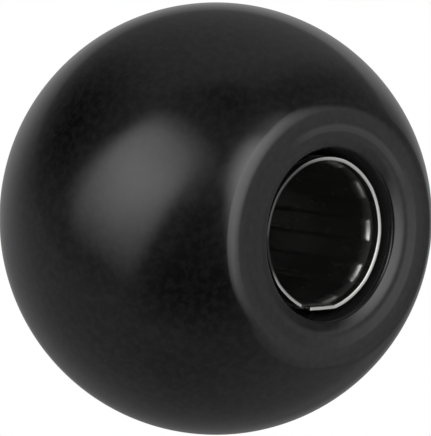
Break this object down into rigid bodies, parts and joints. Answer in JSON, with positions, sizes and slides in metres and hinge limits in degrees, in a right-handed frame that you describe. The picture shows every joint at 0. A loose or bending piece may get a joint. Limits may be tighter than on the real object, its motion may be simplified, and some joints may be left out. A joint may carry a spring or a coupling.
{
  "type": "ball knob",
  "caption": "Glossy black ball knob with a flat face and a blind bore that holds a split, waved steel sleeve, pushed on to a plain round shaft or lever.",
  "frame": {"origin": "centre of the knob's flat, which is also the lowest point", "axes": "+Z along the ball's axis, from the flat up to the crown; the bore opens towards -Z; the sleeve's slit faces -X"},
  "size_m": [0.025, 0.025, 0.0225],
  "materials": {
    "moulding": "polished black thermoset plastic",
    "spring_steel": "bright rolled spring steel"
  },
  "bodies": {
    "root": {"ball": "moulding", "clamping_sleeve": "spring_steel"}
  },
  "joints": []
}
